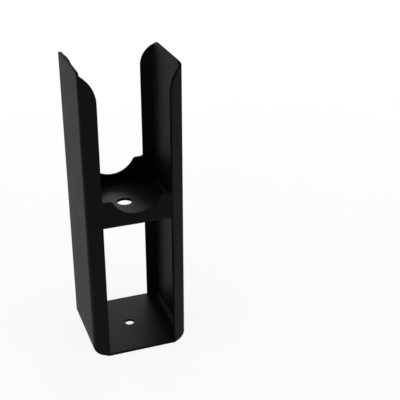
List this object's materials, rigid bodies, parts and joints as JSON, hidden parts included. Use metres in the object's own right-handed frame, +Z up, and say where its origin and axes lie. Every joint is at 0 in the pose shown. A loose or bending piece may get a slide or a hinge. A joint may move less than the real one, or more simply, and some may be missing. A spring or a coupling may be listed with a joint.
{
  "type": "slip-on u bracket floor foot for a column radiator",
  "caption": "U bracket of folded black sheet steel with flanged uprights and a welded saddle that cradles a radiator hub above the floor.",
  "frame": {"origin": "on the floor, under the middle of the base", "axes": "+Z up along the uprights, X across the U from upright to upright, Y through the U from front to back"},
  "size_m": [0.07, 0.07, 0.212],
  "materials": {
    "powder_coat": "satin black powder coat"
  },
  "bodies": {
    "root": {"cradle": "powder_coat", "saddle": "powder_coat"}
  },
  "joints": []
}
